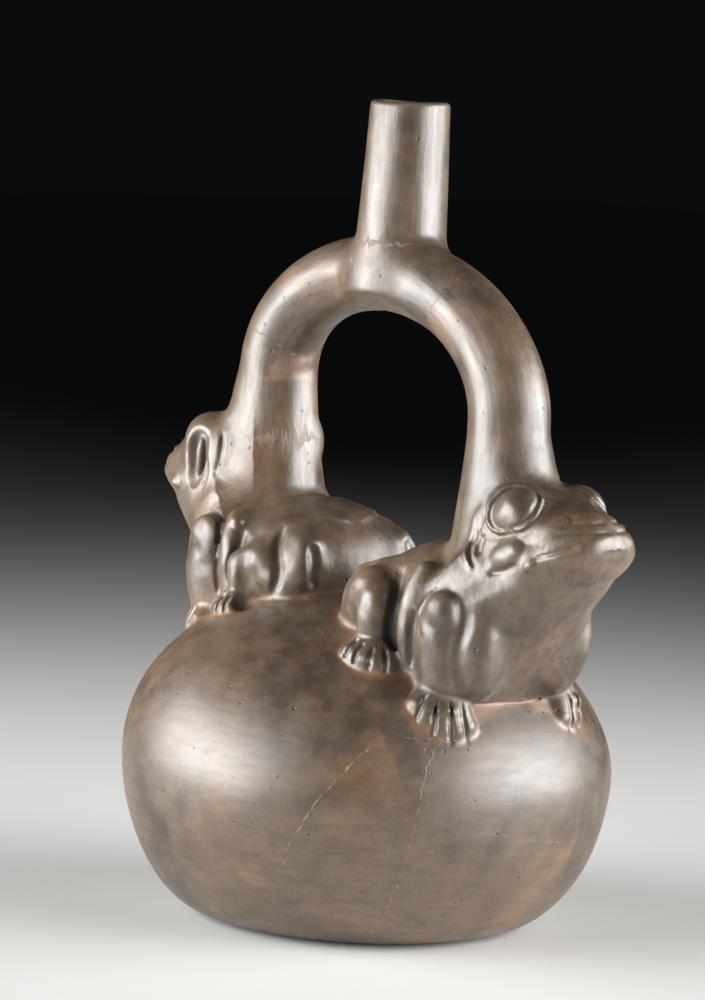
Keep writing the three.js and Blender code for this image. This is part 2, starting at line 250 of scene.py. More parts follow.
def roll(stations, blend=1.5, kind="add"):
    """A rolled strip of clay through stations [x, y, z, radius]."""
    line = through(stations, 16 * len(stations))
    nearest = along(line, (stations[0][3] * 0.85, stations[-1][3] * 0.85))
    radius = line[:, 3].max()

    def distance(p):
        at = nearest(p)
        return np.linalg.norm(p - at[:, :3], axis=1) - at[:, 3]

    work(kind, distance, line[:, :3].min(0) - radius, line[:, :3].max(0) + radius, blend)


def lump(centre, radii, turn=(0, 0, 0), blend=1.5, kind="add"):
    """A pellet of clay, turned about X, Y and then Z."""
    centre, radii = np.array(centre, float), np.array(radii, float)
    axes = np.array(Euler(turn).to_matrix())

    def distance(p):
        q = (p - centre) @ axes
        near = np.linalg.norm(q / radii, axis=1)
        steep = np.maximum(np.linalg.norm(q / radii**2, axis=1), 1e-6)
        return near * (near - 1) / steep

    work(kind, distance, centre - radii.max(), centre + radii.max(), blend)


def form(swell, low, high, blend, kind="add", across=(1, 2), step=0.25):
    """A built-up form: swell(p) is 1 on its side and less inside, and also says how far p is past an end."""

    def distance(p):
        value, past = swell(p)
        slope = np.stack([swell(p + step * np.eye(3)[k])[0] for k in across], axis=1) - value[:, None]
        side = (value - 1) * step / np.maximum(np.linalg.norm(slope, axis=1), 1e-4)
        return np.minimum(np.maximum(side, -FAR) + past, FAR)

    work(kind, distance, np.array(low, float), np.array(high, float), blend)


def press(points, depth, width, fade=True):
    """A line pressed in with a tool, or with a negative depth a bead raised beside it."""
    p = np.asarray(points, float)
    p = onto_surface(p @ seat_turn.T + seat_place)
    p = (p - seat_place) @ seat_turn
    line = through(p, 12 * len(p))
    t = np.linspace(0, 1, len(line))
    strength = ease(np.minimum(t, 1 - t) * 4) if fade else np.ones(len(line))
    line = np.column_stack([line, strength])
    nearest = along(line)

    def distance(q):
        at = nearest(q)
        gone = ((q - at[:, :3]) ** 2).sum(1) / width**2
        return depth * at[:, 3] * np.exp(-gone) * np.clip(1 - gone / 5, 0, 1)

    edge = 2.3 * width
    work("press", distance, line[:, :3].min(0) - edge, line[:, :3].max(0) + edge, 0)


table_of = lambda rows, count=120: through(rows, count).T

PAIR_CENTRE = 4  # how far the middle of the pair stands from the middle of the pot
FLANK = 40  # how far forward the fold of skin between the legs is
NECK = np.array([58, 0, 124])  # the point that the head nods about
# turn in radians and nod in degrees. The rest is in millimetres, counted from the middle of the pair.
TOADS = [
    dict(turn=0, lift=0, nod=0, chin_up=0, rump=6, haunch=13, thigh=17, knee=27.5, knee_top=113),
    dict(turn=math.pi, lift=5.3, nod=9.5, chin_up=4, rump=4, haunch=15, thigh=19, knee=30, knee_top=109),
]


def sit(toad, face=False):
    """Moves the hands to a toad's place, or to its nodding head."""
    global seat_turn, seat_place
    seat_turn = np.array(Euler((0, 0, toad["turn"])).to_matrix())
    seat_place = np.array([PAIR_CENTRE, 0, toad["lift"]])
    if face:
        dip = np.array(Euler((0, math.radians(toad["nod"]), 0)).to_matrix())
        seat_place = seat_place + seat_turn @ (NECK - dip @ NECK + np.array([0, 0, toad["chin_up"]]))
        seat_turn = seat_turn @ dip


def torso(rump, inset, kind, blend):
    """The loaf of the body, from the rump to behind the throat. The rows give x, half width and height."""
    rows = [[rump, 14, 13], [rump + 8, 22, 23], [rump + 20, 25, 27.5], [36, 26, 28], [47, 25, 28], [56, 22, 27]]
    x, half, high = table_of(rows)
    t = np.linspace(-1, 1, len(x))
    close = np.maximum(1 - t * t, 0.09) ** 0.27

    def swell(p):
        w = np.interp(p[:, 0], x, (half - inset) * close)
        h = np.interp(p[:, 0], x, (high - inset) * close)
        ends = np.maximum(rump + 2 + inset - p[:, 0], 0) + np.maximum(p[:, 0] - (56 - inset), 0)
        return (np.abs(p[:, 1] / w) ** 2.6 + np.abs((p[:, 2] - 90) / h) ** 2.6 + 1e-9) ** (1 / 2.6), ends * 1.5

    form(swell, (rump + inset, inset - 26, 62 + inset), (56 - inset, 26 - inset, 118 - inset), blend, kind)


def throat(inset, kind, blend):
    """The chest and throat, from the pot to the lip. The rows give z, front and half width."""
    rows = [
        [66, 48, 16], [74, 57, 19], [84, 64.5, 21.5], [95, 73.2, 23],
        [105, 81.3, 23.2], [113, 88.4, 21.2], [119, 92.6, 19], [123, 93.4, 17],
    ]
    z, front, half = table_of(rows)

    def swell(p):
        reach = np.interp(p[:, 2], z, front) - 44 - inset * 1.35
        wide = np.interp(p[:, 2], z, half) - inset
        x = np.where(p[:, 0] > 44, (p[:, 0] - 44) / np.maximum(reach, 4), (44 - p[:, 0]) / 4)
        top = np.minimum(122.5, 108 + 1.1 * np.maximum(p[:, 0] - 46, 0)) - inset
        ends = np.maximum(p[:, 2] - top, 0) * 1.2
        power = 2.4 + 0.7 * ease((p[:, 2] - 100) / 20)
        return (np.abs(x) ** power + np.abs(p[:, 1] / wide) ** power + 1e-9) ** (1 / power), ends

    form(swell, (40, inset - 23.5, 60), (96 - inset, 23.5 - inset, 123.5 - inset), blend, kind, across=(0, 1))


def head():
    """The wedge of the head. The rows give x, the height of its middle, half width, height above and below."""
    rows = [
        [46, 121, 12, 12, 12], [57, 121.5, 17, 17.6, 14], [65, 122, 17.6, 17.2, 13], [75, 121.5, 16.8, 14.1, 11],
        [84, 121.5, 15, 11.2, 6], [91, 122.2, 11.8, 8.2, 3], [95, 123, 8.2, 5, 2.2], [96.4, 123.4, 5.2, 3, 1.8],
    ]
    x, middle, half, above, below = table_of(rows)

    def swell(p):
        c = p[:, 2] - np.interp(p[:, 0], x, middle)
        wide = np.interp(p[:, 0], x, half)
        high = np.where(c > 0, np.interp(p[:, 0], x, above), np.interp(p[:, 0], x, below))
        ends = np.maximum(p[:, 0] - 96.3, 0) * 3 + np.maximum(47 - p[:, 0], 0) * 2.2
        return (np.abs(p[:, 1] / wide) ** 2.4 + np.abs(c / high) ** 2.4 + 1e-9) ** (1 / 2.4), ends

    form(swell, (46, -17.7, 108), (97, 17.7, 140), 2.5)


# share of the way from the heel, height over the pot, and for a toe its radius
TOE = ((0, 1.2, 3.8), (0.5, 0.6, 3.6), (0.94, -0.3, 2.7))
SLIT = ((0.6, 3), (0.86, 2), (1.14, 0.4))


def foot(heel, tips, side):
    """Five broad toes spread flat on the pot, drawn out from the heel, with a slit cut between each two."""
    hx, hy = heel[0], side * heel[1]
    on = lambda x, y, rise: (x, y, ground(x, y) + rise)
    part_way = lambda x, y, t, rise: on(hx + (x - hx) * t, hy + (y - hy) * t, rise)
    mid_x = 0.55 * hx + 0.45 * sum(tip[0] for tip in tips) / 5
    mid_y = 0.55 * hy + 0.45 * side * sum(tip[1] for tip in tips) / 5
    lump(on(mid_x, mid_y, -0.4), (7, 6.6, 3.4), blend=3)
    for x, y in tips:
        y *= side
        roll([(*part_way(x, y, t, rise), radius) for t, rise, radius in TOE], 2)
    for (x, y), (u, v) in zip(tips, tips[1:]):
        x, y = (x + u) / 2, side * (y + v) / 2
        press([part_way(x, y, t, rise) for t, rise in SLIT], 2.6, 0.62)


for toad in TOADS:
    sit(toad)
    torso(toad["rump"], 0, "add", 2.5)
    throat(0, "add", 3)
    sit(toad, face=True)
    head()
    lump((54, 0, 137), (11.5, 11.5, 16), blend=5)
    sit(toad)
    knee, top, thigh, haunch = (toad[k] for k in ("knee", "knee_top", "thigh", "haunch"))
    for side in (-1, 1):
        # the side of the body between the legs
        lump((thigh + 5, side * 17, 98), (15, 9.5, 14), blend=4)
        lump((FLANK + 3, side * 18.4, 96), (14, 8.6, 16), blend=5)
        lump((53, side * 19, 93), (15, 7.2, 17), blend=5)
        # the neck, filled out over the shoulders and down into the chest
        lump((56, side * 9, 109.5), (12.5, 13.5, 11.5), blend=5)
        lump((59, side * 14, 91), (6.5, 7, 15), blend=6)
        # the arm, from the round shoulder to the wrist
        roll([(52.6, side * 23.2, 103, 6.8), (52.8, side * 23.6, 93, 7), (52.2, side * 22, 84, 7),
            (51.6, side * 20.6, ground(51.6, side * 20.6) + 1, 7)], 5)
        # a fold of skin on the flank, and the hind leg drawn up beside it
        roll([(FLANK + 3, side * 21, 113, 3), (FLANK + 1.4, side * 25, 104, 3.6),
            (FLANK + 0.2, side * 25.4, 94, 3.6), (FLANK - 0.6, side * 23.4, 83, 3.2)], 3)
        roll([(thigh - 3, side * 20, 92, 5), (thigh + 1, side * 23.5, top - 14, 6),
            (knee - 3, side * 25.4, top - 8, 6.4), (knee, side * 25.6, top - 9, 6)], 3)
        roll([(knee, side * 25, top - 7, 6.6), (knee + 1, side * 27.8, 99, 6), (knee + 0.6, side * 27.6, 91, 5.6),
            (knee + 1.6, side * 26, ground(knee + 2, side * 26) + 1, 5.2)], 3)
        # the back of the haunch
        rear = [(haunch, side * 17, 108, 3.2), (haunch - 1, side * 21, 101, 3.8), (haunch - 2, side * 22, 94, 3.2)]
        roll(rear, 3)
        foot((50, 21.5), [(49.8, 31.8), (53.8, 30.7), (58, 27.2), (60.2, 22.8), (60.8, 18.4)], side)
        hind = [(24.6, 36.9), (28.2, 36.9), (31.8, 35.8), (35.4, 33.4), (38.2, 29.8)]
        onward = knee - 27.5  # the hind foot goes with the knee
        foot((29.5 + onward, 27), [(x + onward, y) for x, y in hind], side)
        # the far toad has a thicker neck and a flatter shoulder, and the near one a round knob
        if toad["turn"]:
            lump((56, side * 10, 115), (10, 8.5, 9), blend=6)
            lump((51, side * 26.4, 105), (6.6, 4.4, 6.8), (0, 0.3, 0), 1.2)
            lump((49, side * 26.8, 100.5), (3.2, 3, 5), (0, 0.3, 0), 1.6)
        else:
            lump((54.6, side * 26.2, 101.6), (5.8, 4.8, 6), blend=1.6)

# ---- the faces ----
# The face is pressed on in soft clay: a low eyeball inside two rings of lid, folds of skin behind it, the
# gland on the cheek, the knob at the corner of the mouth, and a broad rolled lip under a wrinkled snout.
for toad in TOADS:
    sit(toad, face=True)
    near = toad["turn"] == 0
    lip = []
    for i in range(-6, 7):
        round_snout = (1 - abs(i) / 6) * math.pi / 2
        reach = math.sin(round_snout)
        out = math.copysign(15.6 * math.cos(round_snout), i)
        lip.append((75 + 18.1 * reach, out, 116.8 + 6 * reach, 2.3 + 0.7 * reach))
    roll(lip, 3.5)
    lump((89.3, 0, 119.2), (5.2, 10.5, 6.5), blend=4)
    lump((88.4, 0, 129.2), (5.5, 6.6, 3.6), (0, 0.3, 0), 2.5)
    for side in (-1, 1):
        outward = (side * -0.95, 0, side * 0.1)
        lump((69.5, side * 10.5, 129.8), (8.6, 8.4, 7.8), outward, 2.5)
        lump((69.8, side * 12.2, 131), (6.4, 6.2, 6), outward, 2.5)
        if near:
            ring = lambda wide, high: [
                (68.4 + wide * math.cos(a), side * (13.4 - high * 0.75 * math.sin(a)),
                    131.3 + high * 0.86 * math.sin(a))
                for a in np.linspace(0, 2 * math.pi, 13)
            ]
            press(ring(9.8, 8.6), 0.5, 0.8, fade=False)
            press(ring(8.4, 7.3), -0.4, 0.9, fade=False)
            press(ring(6.7, 5.7), 0.95, 0.8, fade=False)
            # the folds of skin behind the eye, curling round the ear
            press([(60, side * 15.6, 132), (58.6, side * 16.6, 128), (58.6, side * 17.6, 123.6)], 0.8, 0.8)
            press([(56.6, side * 15.6, 133), (54.6, side * 16.8, 127), (54.4, side * 17.6, 121.4),
                (57, side * 18.4, 116), (61, side * 18.6, 112.4)], -0.9, 1.5)
            press([(60.6, side * 17, 124), (60.2, side * 18, 120.5), (61, side * 18.6, 117)], 1.3, 1.1)
            press([(57.4, side * 17.6, 126), (56.4, side * 18.2, 121), (57.8, side * 18.4, 116.4),
                (61.6, side * 18.6, 112.6)], 1.1, 0.8)
            # the gland on the cheek, a bean with its point towards the throat
            roll([(61.6, side * 17.2, 112.6, 1.4), (66.6, side * 16.2, 116, 4), (72, side * 15.6, 119.4, 4.8),
                (75.4, side * 14.4, 121.4, 3.6)], 1.0)
            press([(65.5, side * 17.2, 122.8), (69.5, side * 17.4, 125.3), (74.8, side * 15.8, 127.2)], 0.8, 0.8)
            press([(65, side * 18, 113), (70, side * 19, 114.6), (76, side * 18, 117.6)], 0.7, 1.0)
        else:
            # a long leaf of an eye, set upright in the side of a heavy head
            lump((67, side * 11, 122), (11, 8, 13), blend=5)
            lump((67.8, side * 19.6, 124.5), (4.4, 3.2, 9.6), (0, -0.25, 0), 1.6, "cut")
            lump((67.6, side * 16.6, 124.8), (1.9, 2.5, 6.6), (0, -0.25, 0), 0.8)
            press([(58.6, side * 15, 133), (58, side * 17, 125), (60, side * 18, 116)], 0.8, 0.9)
            press([(62.4, side * 17, 126), (62.6, side * 18, 119), (65.6, side * 19, 113)], 0.5, 0.7)
        # the knob at the corner of the mouth
        lump((79.8, side * 17, 117), (2.6, 2, 1.8), (0, -0.6, 0), 1)
        # the mouth line and the wrinkles over the lip
        press([(80.5, side * 17, 118.2), (85.5, side * 15.5, 121), (89.6, side * 12.6, 122.9),
            (92.6, side * 9.6, 123.8)], 0.8, 0.7)
        press([(84.5, side * 13.2, 125.4), (88.6, side * 10.6, 126.8), (92.8, side * 6.4, 127), (95, 0, 126.9)],
            0.8, 0.6)
        press([(83.6, side * 12.4, 128.4), (87.6, side * 9.4, 129.4), (91, side * 5, 129.6), (92.4, 0, 129.6)],
            0.9, 0.7)
        press([(77, side * 10.6, 133.4), (82.4, side * 8, 132.2), (85.8, side * 7.6, 130.2),
            (86.6, side * 10.4, 127.6)], 0.8, 0.9)
        press([(74.4, side * 11, 136.4), (78.3, side * 7, 135.2), (83, side * 4, 134)], -0.5, 1.2)

# ---- creases of the two bodies ----
# Finer lines cut with a pointed tool round the shoulders and down between the legs, which the finish
# darkens with soot and painted shade.
sit(TOADS[0])
for side in (-1, 1):
    press([(60.4, side * 22, 104), (60.4, side * 21.4, 98), (58.6, side * 21, 91), (58.4, side * 20.4, 84),
        (57, side * 19.6, 78)], 1.6, 2.2)
    press([(60.6, side * 25, 106.5), (55, side * 27, 109.6), (49.4, side * 27, 107.6), (46.8, side * 28, 101.6),
        (48.4, side * 28, 95.6), (53, side * 29, 93.4)], 1.1, 1.0)
    press([(43.6, side * 26, 101), (43, side * 26, 95.6), (42.4, side * 25.4, 90), (41.4, side * 24, 84.4)], 3.2,
        1.3)
    press([(30, side * 20, 111), (33.4, side * 24, 106), (35, side * 25.5, 99), (35, side * 26, 92),
        (35.4, side * 26.7, 85)], 3.4, 1.6)
sit(TOADS[1])
for side in (-1, 1):
    press([(57, side * 26, 97.6), (58.6, side * 26, 106), (54, side * 27, 112), (47.4, side * 26.4, 111.6),
        (45, side * 25.6, 105), (47.4, side * 26.5, 96.6)], 1.3, 0.9)
    lump((40.6, side * 24.4, 109.8), (2.3, 2.2, 2.3), blend=0.6)
    press([(44.4, side * 26, 105.6), (44.2, side * 26.4, 103)], 2, 0.8)
    press([(44.6, side * 27, 99), (44.2, side * 27, 94), (43.8, side * 26, 88)], 2.6, 0.9)
    press([(36, side * 26, 110), (36.4, side * 28, 104), (36.8, side * 28.5, 97), (37, side * 28, 90)], 2.2, 1.5)
    roll([(27, side * 33, 104, 0.8), (26.2, side * 33.8, 98, 2.2), (25.4, side * 33.6, 91, 3.4),
        (25, side * 33, 86, 3.6)], 2.5, "cut")
    press([(24, side * 19, 111), (21, side * 23, 104), (19.4, side * 25, 96), (19, side * 25, 90)], 2, 1.4)
    press([(12.4, side * 19, 107), (10.8, side * 19.6, 100), (10.4, side * 19, 93)], 2.2, 1.8)
    press([(26, side * 16, 112.6), (20, side * 12, 114), (15, side * 6, 114.5), (12.5, 0, 114.4)], -0.8, 1.1)


def thumbed(p):
    """The hand leaves everything a little uneven."""
    x, y, z = p.T
    dents = 0.2 * np.sin(x / 1.9 + 1.4 * np.sin(z / 3.1)) * np.sin(z / 2.3 + 1.1 * np.sin(y / 2.7))
    return dents * ease((z - 84) / 8) * ease((142 - z) / 8) * ease((x - 4) / 10)


for toad in TOADS:
    sit(toad)
    work("press", thumbed, (4, -34, 84), (98, 34, 142), 0)
# the ragged joint under each chest
seam_line = [(50.5, 16.6, 76), (54.2, 9.7, 75), (57.1, 4.3, 73.1), (56.4, -0.2, 73.8), (53.2, -11.2, 75.4),
    (51.8, -16.8, 75)]
for toad in TOADS:
    sit(toad)
    press(seam_line, 0.6, 0.5)

# ---- the stirrup and the spout ----
# A tube rolled round a rod, bent to an arch and stuck on the two backs. The spout is stuck on at the crown
# and both are smoothed in with a wet finger.
seat_turn, seat_place = np.eye(3), np.zeros(3)
run = np.linspace(-1, 1, 700)  # along the tube, from one leg to the other
SPRING, LEG_END, CROWN = 157, 106, 193.5  # heights where the bend starts, where the legs end, and of the top
HALF_SPAN, ARCH_MIDDLE, ARCH_TILT = 51.7, 2.7, 2.6  # half the width, where its middle is, and how much one leg drops
TUBE = 12.1  # radius
legs, rise = SPRING - LEG_END, CROWN - SPRING
arc = (math.pi / 2) * (HALF_SPAN + rise) * 0.5
gone = np.abs(run) * (legs + arc)
turned = np.maximum(1 - gone / arc, 0) * math.pi / 2
out = HALF_SPAN * np.cos(turned) - np.where(gone > arc, ((gone - arc) / legs) ** 2 * 1.5, 0)
up = np.where(gone < arc, SPRING + rise * np.sin(turned), SPRING - (gone - arc))
up_tilted = up - np.sign(run) * out * (ARCH_TILT / HALF_SPAN) * ease((up - LEG_END) / 50)
thickness = TUBE - 0.8 * ease((up - SPRING) / rise) + 2.5 * ease((SPRING - up) / 45)
arch = np.stack([ARCH_MIDDLE + np.sign(run) * out, np.zeros_like(run), up_tilted, thickness], axis=1)
to_arch = along(arch)


def arch_field(p):
    """How far each point lies outside the stirrup."""
    at = to_arch(p)
    across = p - at[:, :3]
    around = np.arctan2(across[:, 1], np.hypot(across[:, 0], across[:, 2]) * np.sign(across[:, 0] + 1e-9))
    uneven = 0.12 * np.sin(4 * around + at[:, 2] / 21) + 0.1 * np.sin(7 * around + at[:, 0] / 13 + 2)
    return np.linalg.norm(across, axis=1) - at[:, 3] - uneven


THICKEST = 14.7  # the tube at the foot of a leg, with its unevenness
work("add", arch_field, arch[:, :3].min(0) - THICKEST, arch[:, :3].max(0) + THICKEST, 5)
SPOUT_FOOT, SPOUT_HIGH = 190, 55
SPOUT_TOP = SPOUT_FOOT + SPOUT_HIGH
SPOUT_X, SPOUT_LEAN = 3.4, 1.5  # where it stands on the crown, and how far it leans by the rim


def spout_field(p):
    """How far each point lies outside the spout."""
    t = (p[:, 2] - SPOUT_FOOT) / SPOUT_HIGH
    radius = 14 - 2.3 * np.clip(t, 0, 1.1) + 1.5 * ease((0.3 - t) / 0.3)
    across = np.hypot(p[:, 0] - SPOUT_X - SPOUT_LEAN * t, p[:, 1])
    around = np.arctan2(p[:, 1], p[:, 0] - SPOUT_X)
    wall = across - radius - 0.1 * np.sin(5 * around + p[:, 2] / 14)
    rim = p[:, 2] - SPOUT_TOP - 0.25 * np.sin(around * 2 + 1) + 0.25
    ends = np.maximum(rim, SPOUT_FOOT - 2 - p[:, 2])
    soft = np.maximum(1.6 - np.abs(wall - ends), 0)
    return np.maximum(wall, ends) + soft * soft / 6.4


work("add", spout_field, (-13, -16, SPOUT_FOOT - 2), (20, 16, SPOUT_TOP), 5)
# a patch of paler clay over a mend on the far leg, and a lump left lower down
press([(-38.5, 7.0, 165), (-39, -2.3, 163.5), (-42.5, -10.1, 160.9)], -0.5, 2.2)
lump((-38.6, 6.0, 139), (1.6, 3.6, 5), blend=4)

# ---- the hollow ----
# Pot, toads, stirrup and spout are one hollow. The pot was closed over an empty middle, and a bore runs from
# the spout down both legs of the stirrup and through the toads into it.
TUBE_BORE, SPOUT_BORE = 7, 8  # radii
work("cut", lambda p: pot_field(p) + WALL, (-68, -68, WALL), (68, 68, 95), 1)
for toad in TOADS:
    sit(toad)
    torso(toad["rump"], WALL, "cut", 1)
    throat(WALL, "cut", 1)
seat_turn, seat_place = np.eye(3), np.zeros(3)


def tube_bore(p):
    """How far each point lies outside the bore of the stirrup."""
    return np.linalg.norm(p - to_arch(p)[:, :3], axis=1) - TUBE_BORE


def spout_bore(p):
    """How far each point lies outside the bore of the spout, which goes on past the rim."""
    leaning = SPOUT_LEAN * (p[:, 2] - SPOUT_FOOT) / SPOUT_HIGH
    across = np.hypot(p[:, 0] - SPOUT_X - leaning, p[:, 1])
    return np.maximum(across - SPOUT_BORE, SPOUT_FOOT + 2 - p[:, 2])


work("cut", tube_bore, arch[:, :3].min(0) - TUBE_BORE, arch[:, :3].max(0) + TUBE_BORE, 1)
work("cut", spout_bore, (-5, -9, SPOUT_FOOT + 2), (14, 9, 256), 1.2)

# ---- the skin of the clay ----
# The faces of the clay, inside and out, are one closed skin. It is found on a fine lattice, only near the
# surface of the clay, then thinned where it is plain and drawn back onto the clay.
LATTICE_MM = 0.65
BRICK, CELL = 32, 4  # the lattice is gone through in bricks of cells
TRIANGLES = 190000
corner = np.array([-98.0, -77.0, -2.0])
bricks = np.ceil((np.array([107, 77, 249.0]) - corner) / (BRICK * LATTICE_MM)).astype(int)
lattice = np.full(bricks * BRICK, FAR, np.float32)
offsets = np.stack(np.meshgrid(*[np.arange(CELL)] * 3, indexing="ij"), axis=-1).reshape(-1, 3)
cells = np.stack(np.meshgrid(*[np.arange(0, BRICK, CELL)] * 3, indexing="ij"), axis=-1).reshape(-1, 3)
for brick in np.ndindex(*bricks):
    start = np.array(brick) * BRICK
    rough = clay(corner + (start + cells + (CELL - 1) / 2) * LATTICE_MM)
    block = lattice[tuple(slice(s, s + BRICK) for s in start)]
    block[...] = rough.reshape([BRICK // CELL] * 3).repeat(CELL, 0).repeat(CELL, 1).repeat(CELL, 2)
    close = cells[np.abs(rough) < CELL * LATTICE_MM * 0.87 + 1.6]
    if len(close):
        at = (close[:, None] + offsets[None]).reshape(-1, 3)
        block[tuple(at.T)] = clay(corner + (start + at) * LATTICE_MM)
grid = openvdb.FloatGrid(FAR)
grid.copyFromArray(lattice)
points, _, quads = grid.convertToPolygons(isovalue=0, adaptivity=0)[:3]
points = corner + np.asarray(points, float) * LATTICE_MM
skin = bpy.data.meshes.new("skin")
skin.vertices.add(len(points))
skin.vertices.foreach_set("co", points.ravel())
skin.loops.add(quads.size)
skin.loops.foreach_set("vertex_index", np.asarray(quads, np.int32).ravel())
skin.polygons.add(len(quads))
skin.polygons.foreach_set("loop_start", np.arange(0, quads.size, 4, dtype=np.int32))
skin.update(calc_edges=True)
raw = bpy.data.objects.new("skin", skin)
bpy.context.scene.collection.objects.link(raw)
thin = raw.modifiers.new("thin", "DECIMATE")
thin.ratio = min(TRIANGLES / (2 * len(quads)), 1)
mesh = bpy.data.meshes.new_from_object(raw.evaluated_get(bpy.context.evaluated_depsgraph_get()))
bpy.data.objects.remove(raw)
mesh.name = "vessel_clay"

at = np.empty(len(mesh.vertices) * 3)
mesh.vertices.foreach_get("co", at)
at = at.reshape(-1, 3)
NEIGHBOURHOOD = 40  # millimetres across
keys = (at // NEIGHBOURHOOD).astype(int) @ np.array([1, 100, 10000])
order = np.argsort(keys, kind="stable")
parts = np.split(order, np.flatnonzero(np.diff(keys[order])) + 1)


def by_brick(action, p):
    """Runs an action on the points a neighbourhood at a time."""
    out = np.concatenate([action(p[part]) for part in parts])
    back = np.empty_like(out)
    back[order] = out
    return back


moved = by_brick(lambda p: onto_surface(p, 2), at)
strayed = np.linalg.norm(moved - at, axis=1) > 0.5
moved[strayed] = at[strayed]
slope = by_brick(gradient, moved)
normals = slope / np.maximum(np.linalg.norm(slope, axis=1), 1e-6)[:, None]
# how far the clay closes in over a point, close by and further off, or falls away from it, in millimetres
CLOSE_BY, FURTHER, UNDER = 1.2, 3.5, 0.9
hollow = 1 - by_brick(clay, moved + normals * CLOSE_BY) / CLOSE_BY
deep = 1 - by_brick(clay, moved + normals * FURTHER) / FURTHER
ridge = 1 + by_brick(clay, moved - normals * UNDER) / UNDER

# the direction of the burnishing strokes: along the tubes, round the pot, and down the toads
x, y, z = moved.T
ON_TUBE, ON_POT, SPOUT_STARTS = 1.5, 0.6, 203
off_arch, off_pot = by_brick(arch_field, moved), by_brick(pot_field, moved)
on_arch, on_pot = off_arch < ON_TUBE, off_pot < ON_POT
on_spout = (by_brick(spout_field, moved) < ON_TUBE) & (z > SPOUT_STARTS)
grain = np.stack([x * 0.8, y * 0.8, z * 0.35], axis=1)
nearest = by_brick(to_arch, moved)
across = moved - nearest[:, :3]
outward = across[:, 0] * (nearest[:, 0] - ARCH_MIDDLE) + across[:, 2] * np.maximum(nearest[:, 2] - 150, 0.1)
arch_side = np.hypot(across[:, 0], across[:, 2]) * np.sign(outward)
arch_turn = np.arctan2(nearest[:, 2] - 140, nearest[:, 0] - ARCH_MIDDLE)
grain[on_arch] = np.stack([across[:, 1], arch_side, arch_turn * 9], axis=1)[on_arch]
grain[on_spout] = np.stack([x + 60, y, z * 0.13], axis=1)[on_spout]
grain[on_pot] = np.stack([x * 0.2, y * 0.2, z * 0.9], axis=1)[on_pot]

# where two pieces are smoothed together the strokes die away
STROKE_FADE = 1.2
steady = np.clip(np.minimum(np.abs(off_arch - ON_TUBE), np.abs(off_pot - ON_POT)) / STROKE_FADE, 0, 1)
# the foot stands flat on the table
moved[:, 2] = np.maximum(moved[:, 2], 0)
# where the toads were joined to the pot
seam = np.clip(1.2 - np.abs(by_brick(pot_field, moved)), 0, 1) * np.clip(hollow * 4, 0, 1) * (z > 60)

mesh.vertices.foreach_set("co", (moved / 1000).ravel())
for name, values in {"steady": steady, "seam": seam, "hollow": hollow, "deep": deep, "ridge": ridge}.items():
    mesh.attributes.new(name, "FLOAT", "POINT").data.foreach_set("value", values)
mesh.attributes.new("grain", "FLOAT_VECTOR", "POINT").data.foreach_set("vector", grain.ravel())
mesh.polygons.foreach_set("use_smooth", np.ones(len(mesh.polygons), bool))
mesh.update()
clay_vessel = bpy.data.objects.new("vessel_clay", mesh)
bpy.context.scene.collection.objects.link(clay_vessel)
# the skin faces outwards
mesh.calc_loop_triangles()
triangles = np.empty(len(mesh.loop_triangles) * 3, np.int32)
mesh.loop_triangles.foreach_get("vertices", triangles)
first, second, third = (moved[triangles[k::3]] for k in range(3))
if (np.cross(first, second) * third).sum() < 0:
    mesh.flip_normals()
mesh.normals_split_custom_set_from_vertices(normals)

# ---- the fired and burnished finish ----
# Smoke-fired earthenware, rubbed with a smooth stone while leather hard. That gives a grey-brown skin with a
# low sheen and clouds of orange and olive, strokes along the tubes and small pits. Soot and painted shade darken the
# creases.
finish = bpy.data.materials.new("burnished_clay")
finish.use_nodes = True
tree = finish.node_tree
shader = tree.nodes["Principled BSDF"]


def node(kind, inputs=(), result=0, **settings):
    """Adds a node with its settings, fills or links its inputs, and gives the output asked for."""
    made = tree.nodes.new("ShaderNode" + kind)
    for name, value in settings.items():
        setattr(made, name, value)
    for socket, value in inputs.items() if isinstance(inputs, dict) else enumerate(inputs):
        if isinstance(value, bpy.types.NodeSocket):
            tree.links.new(value, made.inputs[socket])
        else:
            made.inputs[socket].default_value = value
    return made.outputs[result]


SMOOTH = dict(interpolation_type="SMOOTHSTEP")
ADD, TAKE, TIMES, MOST, SIZE = (dict(operation=name) for name in ("ADD", "SUBTRACT", "MULTIPLY", "MAXIMUM",
    "ABSOLUTE"))
place = node("TexCoord", result="Object")
strokes = node("Attribute", result="Vector", attribute_name="grain")
hollows, depths, ridges, seams, calm = (
    node("Attribute", result="Fac", attribute_name=name) for name in ("hollow", "deep", "ridge", "seam", "steady")
)
# A scale is how many times a pattern goes into a metre. The smoke clouds are about 45 mm across, the orange
# ones 32 and the olive ones 22, the mottling 9, worn places 2.4 and grit 1.1 mm. Cracks waver over 4 mm.
clouds, oranges, olives, mottle, worn, grit, waver = (
    node("TexNoise", {"Vector": place, "Scale": scale, "Detail": detail, "Roughness": rough, "Distortion": warp},
        "Fac")
    for scale, detail, rough, warp in [
        (22, 4, 0.55, 0), (31, 3, 0.55, 0.6), (46, 3, 0.55, 0), (110, 4, 0.55, 0), (420, 3, 0.55, 0), (900, 3,
            0.55, 0),
        (260, 4, 0.7, 0),
    ]
)
# strokes of the stone, about 2 mm wide and 5 to 14 mm long
streak = node("TexNoise", {"Vector": strokes, "Scale": 0.55, "Detail": 4, "Roughness": 0.6, "Distortion": 0}, "Fac")
streak = node("Math", [node("Math", [streak, 0.5], **TAKE), calm], **TIMES)
streak = node("Math", [streak, 0.5], **ADD)
